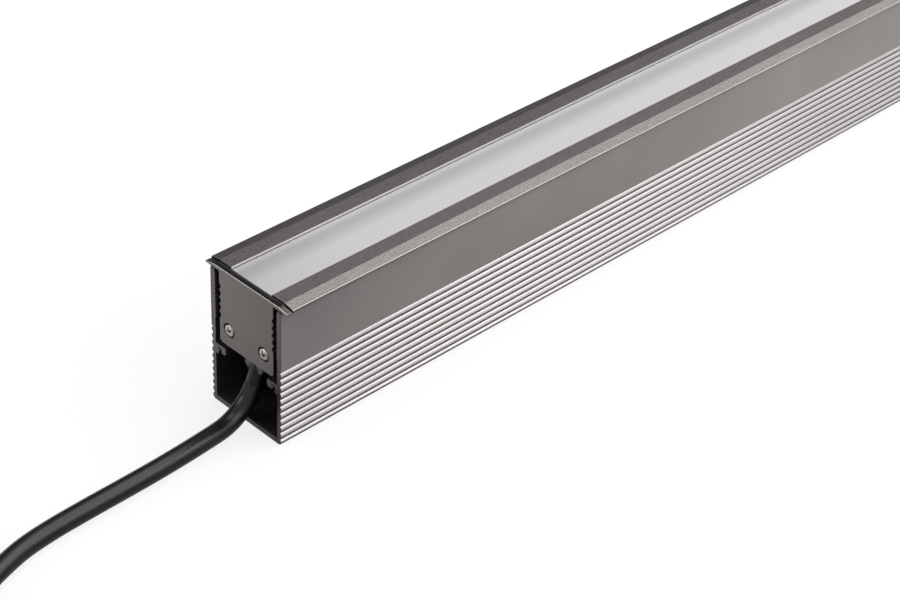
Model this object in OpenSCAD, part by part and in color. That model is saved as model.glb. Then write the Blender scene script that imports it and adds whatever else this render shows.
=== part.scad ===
// Outdoor wall washer light: a linear lamp that hangs by its flange in a U-shaped mounting
// channel. X runs along the fixture, away from the cable end; Z is up; Y = 0 is its middle plane.
// The origin is on the channel's underside, at the middle of its length.

/* [Fixture] */
// Length of the channel, and of the lamp with its end plates
fixture_len = 500; // [400:10:1000]
// How far the end plates stay back from the channel's ends
end_recess = 0.2; // [0:0.1:1]

/* [Mounting channel] */
// Outer width, over the ribs
channel_w = 42; // [41:0.5:50]
// Height of the side walls
channel_h = 64.2; // [62:0.2:80]
// Thickness of a side wall, ribs included
channel_wall = 2.4; // [2.1:0.1:2.8]
// Thickness of the floor
channel_floor_t = 2.4; // [1.8:0.1:3]
// Radius of the two outer lower corners
channel_corner_r = 0.8; // [0.4:0.1:1.2]
// Ribs on the lower part of each side
rib_count = 11; // [5:1:15]
// Distance from rib to rib
rib_pitch = 3.3; // [3:0.1:4]
// Width of a rib at its foot
rib_w = 2.5; // [2:0.1:2.8]
// Height of a rib
rib_h = 0.75; // [0.4:0.05:1]
// Teeth on the upper part of each inner face
tooth_count = 11; // [4:1:12]
// Distance from tooth to tooth
tooth_pitch = 2; // [1.6:0.1:2.1]
// Height of a tooth
tooth_h = 0.4; // [0.2:0.05:0.6]
// Plain strip above the uppermost tooth
tooth_top_margin = 1.2; // [0.5:0.1:3]
// How far the screw-port ledges stand in from the walls
ledge_w = 6; // [5.6:0.1:7]
// Height of a ledge
ledge_h = 3.5; // [3.4:0.1:4.5]
// Free space between a ledge and the lamp above it
ledge_clear = 2.2; // [0.5:0.1:4]
// Radius of the screw ports under the ledges
port_r = 1.25; // [0.8:0.05:1.4]
// Radius of the two fixing holes in the floor
fixing_r = 2.75; // [2:0.25:4]
// Fixing hole to the channel's nearer end
fixing_inset = 50; // [30:5:150]

/* [Lamp body] */
// Free space between the lamp and the channel's wall, on each side
side_gap = 2.5; // [2.2:0.1:3.4]
// Depth of the body below its flange
body_depth = 33.75; // [33:0.25:40]
// How far the flange reaches past the channel on each side
flange_overhang = 3.2; // [1:0.1:8]
// Thickness of the flange at its outer edge
flange_edge_t = 1.4; // [1:0.1:2.5]
// Rise of the flange from its edge to its flat top
flange_rise = 0.9; // [0.4:0.1:1.5]
// Width of the sloping part of the flange
flange_slope_w = 4.9; // [2:0.1:7]
// Scallops on each side of the body
scallop_count = 5; // [3:2:5]
// Distance from scallop to scallop
scallop_pitch = 3.4; // [3:0.1:3.8]
// Width of a scallop
scallop_w = 2.9; // [2.2:0.1:3]
// Depth of a scallop
scallop_depth = 0.8; // [0.4:0.1:1]
// Flange underside to the middle of the uppermost scallop
scallop_drop = 7.1; // [4:0.1:9]
// Thickness of the body's side walls
body_wall = 2.1; // [1.8:0.1:2.5]
// Thickness of the body's floor
body_floor_t = 2; // [1.5:0.1:3]
// Radius of the body's lower corners
body_corner_r = 1.8; // [0.5:0.1:2]
// Height of the light source's chamber
light_room_h = 10.2; // [9.8:0.1:11]
// Thickness of the web that carries the light source
web_t = 2.2; // [1.5:0.1:3]

/* [Diffuser] */
// Width of the opening in the flange
opening_w = 23.8; // [23:0.2:25]
// Thickness of the diffuser
diffuser_t = 3; // [2:0.1:4]
// How far the diffuser lies below the flange's flat top
diffuser_drop = 0.75; // [0.3:0.05:1.2]
// Gap between the diffuser and the opening, on each side
diffuser_gap = 0.25; // [0.1:0.05:0.5]
// Width of the shoulders that carry the diffuser
shoulder_w = 1.5; // [1:0.1:2]
// Thickness of the shoulders
shoulder_t = 2; // [1.5:0.1:3]
// Thickness of the sealing strips on the shoulders
diffuser_seal_t = 0.4; // [0.2:0.1:0.8]

/* [End plates] */
// Thickness of an end plate
cap_t = 2.5; // [2.2:0.1:4]
// How far an end plate's top lies below the flange's flat top
cap_drop = 0.65; // [0.3:0.05:0.8]
// Thickness of the seal between an end plate and the body
end_gasket_t = 0.5; // [0.3:0.1:1]
// Thickness of the strips between the flange and the channel
flange_gasket_t = 0.7; // [0.4:0.1:1.5]
// Screw to the body's side
screw_inset = 5.75; // [5.6:0.05:6.5]
// Screw above the body's underside
screw_rise = 8; // [7.8:0.1:9]
// Radius of the screw's shank
screw_r = 1.5; // [1.25:0.05:1.6]
// Length of the screw's shank
screw_len = 8; // [6:0.5:12]
// Radius of the screw's head
screw_head_r = 2.85; // [2.5:0.05:3]
// Height of the screw's head
screw_head_h = 1.7; // [1.3:0.1:2.2]
// Depth of the counterbore for the head
counterbore_depth = 1.2; // [0.6:0.1:1.6]

/* [Light source] */
// Width of the circuit board under the diffuser
led_board_w = 24; // [23:0.5:26]
// Thickness of both circuit boards
board_t = 1.6; // [1:0.1:2]
// Thickness of the heat-conducting pad
pad_t = 0.5; // [0.3:0.1:1]
// Distance from light-emitting diode to diode
led_pitch = 16; // [10:0.5:25]
// Side of a diode's square package
led_side = 3; // [2:0.5:3.5]
// Height of a diode's package
led_h = 0.8; // [0.5:0.1:1.2]
// Width of the lens strip
lens_w = 13.2; // [12:0.2:13.6]
// Height of the lens strip
lens_h = 6; // [5.2:0.2:7]

/* [Driver] */
// Width of the driver's board
driver_board_w = 27; // [24:0.5:27.5]
// Length of the driver's board
driver_board_len = 180; // [150:5:220]

/* [Retaining clips] */
// Clips along each side
clip_rows = 3; // [2:1:5]
// Length of a clip
clip_len = 12; // [6:1:25]
// Thickness of the spring leaf
clip_t = 0.5; // [0.3:0.05:0.6]

/* [Supply lead] */
// Diameter of the lead
cord_d = 8.2; // [7.8:0.1:8.2]
// Angle of the outlet's spout from the vertical
spout_lean = 20; // [15:1:22]
// Width of the outlet's block
outlet_w = 10.5; // [10:0.1:12]
// Depth of the outlet's block below the body
outlet_drop = 7.85; // [7:0.1:8.5]

/* [Hidden] */
$fn = 48;

// Overrun of every cut, and the clearance of a screw in its hole
over = 1;
screw_play = 0.1;

// Finishes, as they look in the photograph
anodised = [0.42, 0.40, 0.40];
plate_grey = [0.42, 0.41, 0.40];
rubber_black = [0.06, 0.06, 0.06];
outlet_grey = [0.18, 0.18, 0.18];
frosted = [0.82, 0.82, 0.82];
steel = [0.85, 0.85, 0.84];
copper = [0.72, 0.45, 0.25];
board_green = [0.05, 0.30, 0.14];
board_white = [0.90, 0.90, 0.88];
clear_plastic = [0.80, 0.85, 0.88];
pad_blue = [0.45, 0.55, 0.70];
diode_yellow = [0.90, 0.80, 0.25];
ferrite_grey = [0.20, 0.20, 0.22];
can_silver = [0.70, 0.70, 0.72];
chip_black = [0.08, 0.08, 0.09];
core_colours = [[0.40, 0.22, 0.10], [0.12, 0.25, 0.60], [0.35, 0.55, 0.10]];

// The channel's section
channel_in = channel_w / 2 - channel_wall;
rib_r = (pow(rib_w / 2, 2) + rib_h * rib_h) / (2 * rib_h);
rib_first_z = rib_pitch / 2;
rib_top_groove = 0.45;
rib_zone_top = rib_first_z + (rib_count - 1) * rib_pitch + rib_w / 2 + rib_top_groove;
tooth_top_z = channel_h - tooth_top_margin;
flange_under_z = channel_h + flange_gasket_t;

// The lamp's section
body_w = 2 * (channel_in - side_gap);
body_bottom_z = flange_under_z - body_depth;
body_in = body_w / 2 - body_wall;
flange_w = channel_w + 2 * flange_overhang;
flange_edge_z = flange_under_z + flange_edge_t;
flange_top_z = flange_edge_z + flange_rise;
ridge_y = flange_w / 2 - flange_slope_w;
scallop_r = (pow(scallop_w / 2, 2) + scallop_depth * scallop_depth) / (2 * scallop_depth);
scallop_top_z = flange_under_z - scallop_drop;
scallop_mid_z = scallop_top_z - (scallop_count - 1) / 2 * scallop_pitch;
opening_lip = 0.3;
diffuser_top_z = flange_top_z - diffuser_drop;
diffuser_bottom_z = diffuser_top_z - diffuser_t;
shoulder_z = diffuser_bottom_z - diffuser_seal_t;
web_top_z = shoulder_z - shoulder_t - light_room_h;
web_z = web_top_z - web_t;
driver_floor_z = body_bottom_z + body_floor_t;
driver_room_h = web_z - driver_floor_z;
shoulder_in = opening_w / 2 - shoulder_w;
diffuser_w = opening_w - 2 * diffuser_gap;
diffuser_edge_r = 0.3;

// The ledges and their screw ports
ledge_top_z = body_bottom_z - ledge_clear;
port_place_share = [0.4, 0.7];
port_y = channel_in - port_place_share.x * ledge_w;
port_z = ledge_top_z - port_place_share.y * ledge_h;
port_mouth_w = 1.3 * port_r;
port_wall = 1;
ledge_tip_r = 1;

// The fixing holes' countersinks, open to the inside
countersink_r = 1.9 * fixing_r;
countersink_depth = 0.7 * channel_floor_t;

// Places along the fixture
near_x = -fixture_len / 2;
cap_face_x = near_x + end_recess;
body_x = cap_face_x + cap_t + end_gasket_t;
body_len = -2 * body_x;

// The end screws and their ports in the body
screw_y = body_w / 2 - screw_inset;
screw_z = body_bottom_z + screw_rise;
screw_port_r = 3;
screw_port_web = 2.4;
counterbore_play = 0.4;
counterbore_r = screw_head_r + counterbore_play;
counterbore_floor_x = cap_face_x + counterbore_depth;
recess_w = 0.8;
recess_len = 2.8;
recess_depth = 0.8;
head_round = 0.5;
end_gasket_inset = 0.3;

// The light source, from the web up
board_margin = 2;
pad_top_z = web_top_z + pad_t;
led_board_z = pad_top_z;
led_board_top_z = led_board_z + board_t;
led_board_len = body_len - 2 * board_margin;
led_count = 2 * floor((led_board_len / 2 - led_side) / led_pitch + 1 / 2);
led_dome_r = 0.4 * led_side;
led_dome_h = 0.3;
lens_foot_w = 1.1;
lens_foot_h = 1.5;
lens_hollow_r = 4.2;
lens_shift = 0.8;
board_screw_y = 9.2;
board_screw_r = 1.2;
board_screw_head_r = 2.2;
board_screw_head_h = 1.3;
board_screw_len = 6;
board_screw_rows = 4;
board_screw_step = led_pitch * floor(led_board_len / (board_screw_rows * led_pitch));
lead_hole_r = 1.6;

// The driver's board and what is on it
board_rib_h = 1;
board_rib_w = 1.4;
board_rib_inset = 1.1;
driver_board_z = driver_floor_z + board_rib_h;
driver_top_z = driver_board_z + board_t;
driver_inset = 30;
driver_x = body_x + driver_inset;
capacitor_top_play = 1.9;
capacitor_r = 4;
capacitor_h = web_z - driver_top_z - capacitor_top_play;
capacitor_neck_r = 3.6;
capacitor_neck_h = 1;
capacitor_place_shares = [0.16, 0.225, 0.62];
inductor_r = 5.5;
inductor_h = 0.73 * capacitor_h;
inductor_flange_t = 1.2;
inductor_core_r = 3.6;
inductor_place_shares = [0.34, 0.5];
chip_size = [6, 5, 1.4];
chip_place_shares = [0.42, 0.57, 0.7, 0.78, 0.86];
terminal_len = 10;
terminal_w = 12.6;
terminal_h = 0.82 * capacitor_h;
terminal_pitch = 4.2;
terminal_hole_r = 1.5;
terminal_hole_depth = 5;
terminal_wire_z = driver_top_z + terminal_h / 2;
terminal_inset = 1;
terminal_x = driver_x + terminal_inset;
terminal_screw_r = 1.4;
terminal_screw_h = 0.4;
core_bend = 6;
led_lead_r = 0.6;
led_lead_step = 0.75;
lead_hole_x = led_pitch * (1 + round((driver_x + driver_board_len) / led_pitch));

// The clips: a leaf bowed between the outer scallops and the channel's teeth
clip_play = 0.3;
clip_span = (scallop_count - 1) * scallop_pitch;
clip_foot_y = body_w / 2 - scallop_depth + clip_play + clip_t / 2;
clip_bow_y = channel_in - tooth_h - clip_play - clip_t / 2;
clip_bow = clip_bow_y - clip_foot_y;
clip_r = (pow(clip_span / 2, 2) + clip_bow * clip_bow) / (2 * clip_bow);
clip_step = fixture_len / (clip_rows + 1);

// The outlet's block, its neck through the body's floor, and its spout
outlet_inset = 0.6;
outlet_x = body_x + outlet_inset;
outlet_len = 14;
outlet_bottom_z = body_bottom_z - outlet_drop;
outlet_chamfer = 1.8;
neck_play = 0.1;
neck_inset = 0.6;
neck_x = outlet_x + neck_inset;
neck_len = 10.2;
neck_w = 9.4;
inner_flange_t = 1.4;
inner_flange_w = 12.4;
inner_flange_len = 12.6;
inner_flange_inset = 0.3;
inner_flange_x = body_x + inner_flange_inset;
spout_r = 3.9;
spout_bore_r = 2.8;
spout_len = 16.6;
spout_play = 0.05;
spout_end_inset = 4.4;
spout_end_drop = 13.65;
spout_end = [near_x + spout_end_inset, 0, body_bottom_z - spout_end_drop];
spout_axis = [sin(spout_lean), 0, cos(spout_lean)];

// The lead's route, in millimetres from the channel's end plane: down from the spout, over the
// channel's floor and along the ground to the hank. The part up to cord_split lifts with the lamp.
cord_r = cord_d / 2;
cord_points = [
    [1.9, 0, 12.8], [-1.7, -0.1, 8.9], [-6.1, -0.5, 6.1], [-11.2, -1.1, 4.5], [-16.5, -1.7, 4.1],
    [-24, -2.4, 4.1], [-36, -3.3, 4.1], [-50, -4, 4.1], [-66, -4.4, 4.1], [-82, -4.7, 4.1],
    [-98, -5.3, 4.1], [-112, -6.9, 4.2], [-124, -10.2, 4.4], [-136, -14.6, 4.7],
    [-145, -17.2, 4.9], [-151, -18, 4.95]
];
cord_places = concat([spout_end], [for (p = cord_points) [near_x + p.x, p.y, p.z]]);
cord_split = 13;
cord_route = [for (i = [0 : cord_split]) cord_places[i]];
split_step = cord_places[cord_split + 1] - cord_places[cord_split - 1];
split_heading = [split_step.x, split_step.y, 0];
cord_sides = 10;

// The hank: two loops in line with the fixture. The first winds in, a climb along a run takes
// the lead up a layer, and the second winds out above it. A tie draws the runs in at the waist.
hank_layer_gap = 0.55;
hank_step_gap = 1.7;
hank_layer = cord_d + hank_layer_gap;
hank_step = cord_d + hank_step_gap;
hank_run = 115;
hank_half_w = 33;
hank_draw = 15;
hank_turns = 2;
hank_back = 1.125;
hank_climb = [1.1375, 1.25];
hank_start = cord_places[len(cord_places) - 1];
hank_straight = cord_d;
hank_centre = hank_start + [-hank_straight - hank_run / 2, hank_half_w, 0];
hank_rings = 24;
hank_sides = 6;

// The tie round the hank's waist
tie_t = 0.4;
tie_play = 0.4;
tie_w = 3;
tie_turns = [0.125, 0.625, 1.125, 1.625];

// The bared end: the cores, and a ferrule on each
core_r = 1.2;
core_spread = 1.55;
core_step = 2.6;
core_len = 22;
core_fan = 5;
core_turn = 14;
ferrule_r = 0.9;
ferrule_len = 8;
ferrule_collar_r = 1.45;
ferrule_collar_len = 3;
ferrule_wall = 0.3;

// A point on the curve from a to d with handles b and c
function bezier(a, b, c, d, t) =
    pow(1 - t, 3) * a + 3 * t * pow(1 - t, 2) * b + 3 * t * t * (1 - t) * c + pow(t, 3) * d;
function unit(v) = v / norm(v);
function smooth(t) = t <= 0 ? 0 : t >= 1 ? 1 : t * t * (3 - 2 * t);

// The direction of a path at its point i
function heading(path, i) =
    unit(path[min(i + 1, len(path) - 1)] - path[max(i - 1, 0)]);

// The ring of a tube round point i; first and last are the directions of its end faces, and
// across is a direction that the path never takes
function ring(path, i, r, sides, first, last, across) =
    let (t = i == 0 ? unit(first) : i == len(path) - 1 ? unit(last) : heading(path, i),
         s = unit(cross(t, across)), n = cross(s, t))
    [for (k = [0 : sides - 1]) path[i] + r * (cos(360 * k / sides) * s + sin(360 * k / sides) * n)];

module tube(path, r, sides, first, last, across = [0, 0, 1]) {
    count = len(path);
    points = [for (i = [0 : count - 1]) each ring(path, i, r, sides, first, last, across)];
    skin = [for (i = [0 : count - 2], k = [0 : sides - 1])
        let (a = i * sides + k, b = i * sides + (k + 1) % sides, c = a + sides, d = b + sides)
        each [[a, c, b], [b, c, d]]];
    start = [for (k = [1 : sides - 2]) [0, k, k + 1]];
    top = (count - 1) * sides;
    finish = [for (k = [1 : sides - 2]) [top, top + k + 1, top + k]];
    polyhedron(points, concat(skin, start, finish));
}

// The hank's centreline at a number of turns from its start; each turn is a run, a loop, a run
// and a loop, a quarter of a turn each
function hank_half(turns) =
    hank_half_w - hank_step * min(turns, 2 * hank_back - turns);
function hank_point(turns) =
    let (part = floor(4 * turns) % 4, t = 4 * turns - floor(4 * turns), w = hank_half(turns),
         x = part % 2 == 0 ? hank_run / 2 - hank_run * t : -hank_run / 2 - w * sin(180 * t),
         y = part % 2 == 0 ? hank_draw * pow(sin(180 * t), 2) - w : -w * cos(180 * t),
         climb = smooth((turns - hank_climb[0]) / (hank_climb[1] - hank_climb[0])))
    hank_centre + [part < 2 ? x : -x, part < 2 ? y : -y, hank_layer * climb];
hank_steps = hank_rings * hank_turns;
hank_path = concat([for (i = [cord_split : len(cord_places) - 1]) cord_places[i]],
                   [for (i = [0 : hank_steps]) hank_point(i / hank_rings)]);
hank_end = hank_path[len(hank_path) - 1];
hank_heading = [-1, 0, 0];

// The least gap between points of the hank that are half a turn or more apart
fine_steps = 4 * hank_steps;
fine_points = [for (i = [0 : fine_steps]) hank_point(i * hank_turns / fine_steps)];
hank_least_gap = min([for (i = [0 : fine_steps], j = [0 : fine_steps])
    if (j - i > fine_steps / hank_turns / 2) norm(fine_points[i] - fine_points[j])]) - cord_d;
path_lengths = [for (p = [cord_route, hank_path])
    [for (i = [1 : len(p) - 1]) norm(p[i] - p[i - 1])]];
function total(list, i = 0) = i == len(list) ? 0 : list[i] + total(list, i + 1);
echo(hank_least_gap = hank_least_gap, lead_length = total(path_lengths[0]) + total(path_lengths[1]));

// Draws a section, whose x is the fixture's Y and whose y is its Z, along the fixture
module along(x, length) {
    translate([x, 0, 0]) rotate([90, 0, 90]) linear_extrude(height = length) children();
}
module on_both_sides() {
    children();
    mirror([0, 1, 0]) children();
}
module far_end() {
    mirror([1, 0, 0]) children();
}
module rod(x, y, z, length, r) {
    translate([x, y, z]) rotate([0, 90, 0]) cylinder(h = length, r = r);
}

// One half of the channel: its wall with outer ribs and inner teeth
module channel_wall_section() {
    foot_y = channel_w / 2 - rib_h;
    translate([channel_in, channel_corner_r])
        square([foot_y - channel_in, channel_h - channel_corner_r]);
    translate([channel_in, rib_zone_top]) square([channel_wall, channel_h - rib_zone_top]);
    for (i = [0 : rib_count - 1])
        intersection() {
            translate([channel_w / 2 - rib_r, rib_first_z + i * rib_pitch]) circle(r = rib_r);
            translate([foot_y - rib_h, 0]) square([2 * rib_h, rib_zone_top]);
        }
    for (i = [0 : tooth_count - 1])
        translate([channel_in, tooth_top_z - (i + 1) * tooth_pitch])
            polygon([[rib_h, 0], [0, 0], [-tooth_h, tooth_pitch / 2], [0, tooth_pitch],
                     [rib_h, tooth_pitch]]);
}

// The hooked ledge, whose underside is a screw port along the whole channel
module channel_ledge_section() {
    difference() {
        union() {
            translate([channel_in - ledge_w + ledge_tip_r, ledge_top_z - ledge_h])
                square([ledge_w, ledge_h]);
            translate([channel_in - ledge_w, ledge_top_z - ledge_h + ledge_tip_r])
                square([ledge_tip_r, ledge_h - ledge_tip_r]);
            translate([channel_in - ledge_w + ledge_tip_r, ledge_top_z - ledge_h + ledge_tip_r])
                circle(r = ledge_tip_r);
            translate([port_y, port_z - port_r - port_wall])
                square([channel_in - port_y + channel_wall / 2, port_r + port_wall]);
        }
        translate([port_y, port_z]) circle(r = port_r);
        translate([port_y - port_mouth_w / 2, port_z - port_r - port_wall - over])
            square([port_mouth_w, port_r + port_wall + over]);
    }
}

module mounting_channel() {
    foot_y = channel_w / 2 - rib_h;
    color(anodised) difference() {
        on_both_sides() along(near_x, fixture_len) {
            channel_wall_section();
            channel_ledge_section();
            square([foot_y - channel_corner_r, channel_floor_t]);
            translate([0, channel_corner_r]) square([foot_y, channel_floor_t - channel_corner_r]);
            translate([foot_y - channel_corner_r, channel_corner_r]) circle(r = channel_corner_r);
        }
        for (side = [-1, 1]) translate([side * (fixture_len / 2 - fixing_inset), 0, -over]) {
            cylinder(h = channel_floor_t + 2 * over, r = fixing_r);
            translate([0, 0, over + channel_floor_t - countersink_depth])
                cylinder(h = countersink_depth, r1 = fixing_r, r2 = countersink_r);
        }
    }
}

// Strips on the walls' tops, which the flange rests on
module flange_gaskets() {
    color(rubber_black) on_both_sides()
        along(near_x + end_recess, fixture_len - 2 * end_recess)
            translate([channel_in, channel_h]) square([channel_wall, flange_gasket_t]);
}

// One half of the lamp's outline below its flange, which the end plates share
module lamp_outline() {
    difference() {
        union() {
            translate([0, body_bottom_z + body_corner_r])
                square([body_w / 2, body_depth - body_corner_r]);
            translate([0, body_bottom_z]) square([body_w / 2 - body_corner_r, body_depth]);
            translate([body_w / 2 - body_corner_r, body_bottom_z + body_corner_r])
                circle(r = body_corner_r);
        }
        for (i = [0 : scallop_count - 1])
            translate([body_w / 2 + scallop_r - scallop_depth, scallop_top_z - i * scallop_pitch])
                circle(r = scallop_r);
    }
}

// One half of the flange, with its top lowered by drop on the end plates
module flange_outline(drop = 0) {
    polygon([[0, flange_under_z], [0, flange_top_z - drop], [ridge_y, flange_top_z - drop],
             [flange_w / 2, flange_edge_z - drop], [flange_w / 2, flange_under_z]]);
}

module screw_places() {
    for (side = [-1, 1]) translate([0, side * screw_y, 0]) children();
}

module body_section() {
    difference() {
        union() {
            lamp_outline();
            flange_outline();
        }
        translate([-over, driver_floor_z]) square([body_in + over, driver_room_h]);
        translate([-over, web_top_z]) square([body_in + over, shoulder_z - shoulder_t - web_top_z]);
        translate([-over, web_top_z]) square([shoulder_in + over, shoulder_z + over - web_top_z]);
        translate([-over, shoulder_z]) square([opening_w / 2 + over, flange_top_z - shoulder_z + over]);
        polygon([[opening_w / 2 - over, flange_top_z + over],
                 [opening_w / 2 + opening_lip + over, flange_top_z + over],
                 [opening_w / 2 - over, flange_top_z - opening_lip - over]]);
    }
    difference() {
        union() {
            translate([screw_y, screw_z]) circle(r = screw_port_r);
            translate([screw_y, screw_z - screw_port_web / 2])
                square([body_in - screw_y + body_wall / 2, screw_port_web]);
        }
        translate([screw_y, screw_z]) circle(r = screw_r + screw_play / 2);
    }
    translate([body_in - board_rib_inset - board_rib_w, driver_floor_z - body_floor_t / 2])
        square([board_rib_w, board_rib_h + body_floor_t / 2]);
}

module luminaire_body() {
    color(anodised) difference() {
        on_both_sides() along(body_x, body_len) body_section();
        translate([neck_x - neck_play, -neck_w / 2 - neck_play, body_bottom_z - over])
            cube([neck_len + 2 * neck_play, neck_w + 2 * neck_play, body_floor_t + 2 * over]);
        translate([body_x - over, -body_in, driver_floor_z])
            cube([outlet_len + over, 2 * body_in, board_rib_h]);
        board_screw_places() translate([0, 0, web_z - over])
            cylinder(h = web_t + 2 * over, r = board_screw_r + screw_play / 2);
        translate([lead_hole_x, 0, web_z - over])
            cylinder(h = web_t + 2 * over, r = lead_hole_r);
    }
}

module diffuser() {
    half = diffuser_w / 2;
    color(frosted) along(body_x, body_len) polygon([
        [-half, diffuser_bottom_z], [-half, diffuser_top_z - diffuser_edge_r],
        [diffuser_edge_r - half, diffuser_top_z], [half - diffuser_edge_r, diffuser_top_z],
        [half, diffuser_top_z - diffuser_edge_r], [half, diffuser_bottom_z]]);
}

module diffuser_seals() {
    color(rubber_black) on_both_sides() along(body_x, body_len)
        translate([shoulder_in, shoulder_z])
            square([diffuser_w / 2 - shoulder_in, diffuser_seal_t]);
}

// A T-shaped plate whose head follows the flange
module end_cap() {
    color(plate_grey) difference() {
        on_both_sides() along(cap_face_x, cap_t) {
            lamp_outline();
            flange_outline(cap_drop);
        }
        screw_places() {
            rod(cap_face_x - over, 0, screw_z, cap_t + 2 * over, screw_r + screw_play);
            rod(cap_face_x - over, 0, screw_z, counterbore_depth + over, counterbore_r);
        }
    }
}

module end_gasket() {
    inset = end_gasket_inset;
    half_w = body_w / 2 - scallop_depth - inset;
    color(rubber_black) difference() {
        on_both_sides() along(cap_face_x + cap_t, end_gasket_t) {
            translate([0, body_bottom_z + inset]) square([half_w - inset, body_depth]);
            translate([0, body_bottom_z + body_corner_r])
                square([half_w, body_depth - body_corner_r]);
            translate([0, flange_under_z])
                square([flange_w / 2 - inset, flange_edge_t - cap_drop]);
            translate([0, flange_under_z])
                square([ridge_y, flange_edge_t + flange_rise - cap_drop]);
        }
        screw_places() rod(cap_face_x, 0, screw_z, cap_t + end_gasket_t + over, screw_r + screw_play);
    }
}

// Pan screws with a cross recess
module cap_screws() {
    head_x = counterbore_floor_x - screw_head_h;
    color(steel) screw_places() difference() {
        union() {
            rod(counterbore_floor_x, 0, screw_z, screw_len, screw_r);
            rod(head_x + head_round, 0, screw_z, screw_head_h - head_round, screw_head_r);
            translate([head_x, 0, screw_z]) rotate([0, 90, 0])
                cylinder(h = head_round, r1 = screw_head_r - head_round, r2 = screw_head_r);
        }
        for (turn = [0, 90]) translate([head_x - over, 0, screw_z]) rotate([turn, 0, 0])
            translate([0, -recess_w / 2, -recess_len / 2])
                cube([recess_depth + over, recess_w, recess_len]);
    }
}

// Bowed spring leaves that hold the lamp down between scallops and teeth
module retaining_clips() {
    color(steel) on_both_sides() for (row = [1 : clip_rows])
        along(near_x + row * clip_step - clip_len / 2, clip_len)
            translate([clip_bow_y - clip_r, scallop_mid_z]) intersection() {
                difference() {
                    circle(r = clip_r + clip_t / 2);
                    circle(r = clip_r - clip_t / 2);
                }
                translate([0, -clip_span / 2]) square([2 * clip_r, clip_span]);
            }
}

module board_screw_places() {
    for (i = [0 : board_screw_rows - 1], side = [-1, 1])
        translate([(i - (board_screw_rows - 1) / 2) * board_screw_step, side * board_screw_y, 0])
            children();
}

// A flat strip on the web, with holes for the screws and the leads
module web_strip(z, t) {
    difference() {
        translate([-led_board_len / 2, -led_board_w / 2, z]) cube([led_board_len, led_board_w, t]);
        board_screw_places() translate([0, 0, z - over])
            cylinder(h = t + 2 * over, r = board_screw_r + screw_play / 2);
        translate([lead_hole_x, 0, z - over])
            cylinder(h = t + 2 * over, r = lead_hole_r);
    }
}
module thermal_pad() {
    color(pad_blue) web_strip(web_top_z, pad_t);
}
module led_board() {
    color(board_white) web_strip(led_board_z, board_t);
}

module led_chips() {
    color(diode_yellow) for (i = [0 : led_count - 1])
        translate([(i - (led_count - 1) / 2) * led_pitch, 0, led_board_top_z]) {
            translate([-led_side / 2, -led_side / 2, 0]) cube([led_side, led_side, led_h]);
            cylinder(h = led_h + led_dome_h, r = led_dome_r);
        }
}

// A lens profile that leans its light to one side
module lens_strip() {
    rise = lens_h - lens_foot_h;
    dome_r = (pow(lens_w / 2, 2) + rise * rise) / (2 * rise);
    color(clear_plastic) along(-led_board_len / 2, led_board_len)
        translate([0, led_board_top_z]) difference() {
            union() {
                intersection() {
                    translate([0, lens_h - dome_r]) circle(r = dome_r);
                    translate([-lens_w / 2, lens_foot_h]) square([lens_w, lens_h]);
                }
                translate([-lens_w / 2, 0]) square([lens_w, lens_foot_h]);
            }
            translate([-lens_shift, 0]) circle(r = lens_hollow_r);
            translate([lens_foot_w - lens_w / 2, -over])
                square([lens_w - 2 * lens_foot_w, lens_foot_h + over]);
        }
}

module board_screws() {
    color(steel) board_screw_places() {
        translate([0, 0, led_board_top_z]) cylinder(h = board_screw_head_h, r = board_screw_head_r);
        translate([0, 0, led_board_top_z + board_screw_head_h / 2 - board_screw_len])
            cylinder(h = board_screw_len, r = board_screw_r);
    }
}

module driver_board() {
    color(board_green) translate([driver_x, -driver_board_w / 2, driver_board_z])
        cube([driver_board_len, driver_board_w, board_t]);
}

module driver_inductors() {
    color(ferrite_grey) for (place = inductor_place_shares)
        translate([driver_x + place * driver_board_len, 0, driver_top_z]) {
            cylinder(h = inductor_flange_t, r = inductor_r);
            cylinder(h = inductor_h, r = inductor_core_r);
            translate([0, 0, inductor_h - inductor_flange_t])
                cylinder(h = inductor_flange_t, r = inductor_r);
        }
}

module driver_capacitors() {
    color(can_silver) for (place = capacitor_place_shares)
        translate([driver_x + place * driver_board_len, 0, driver_top_z]) {
            cylinder(h = capacitor_neck_h, r = capacitor_neck_r);
            translate([0, 0, capacitor_neck_h])
                cylinder(h = capacitor_h - capacitor_neck_h, r = capacitor_r);
        }
}

module driver_chips() {
    color(chip_black) for (place = chip_place_shares)
        translate([driver_x + place * driver_board_len - chip_size.x / 2, -chip_size.y / 2,
                   driver_top_z])
            cube(chip_size);
}

module terminal_block() {
    color(board_green) difference() {
        union() {
            translate([terminal_x, -terminal_w / 2, driver_top_z])
                cube([terminal_len, terminal_w, terminal_h]);
            for (i = [-1 : 1]) translate([terminal_x + terminal_len / 2, i * terminal_pitch,
                                          driver_top_z + terminal_h])
                cylinder(h = terminal_screw_h, r = terminal_screw_r);
        }
        for (i = [-1 : 1]) rod(terminal_x - over, i * terminal_pitch, terminal_wire_z,
                               terminal_hole_depth + over, terminal_hole_r);
    }
}

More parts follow.
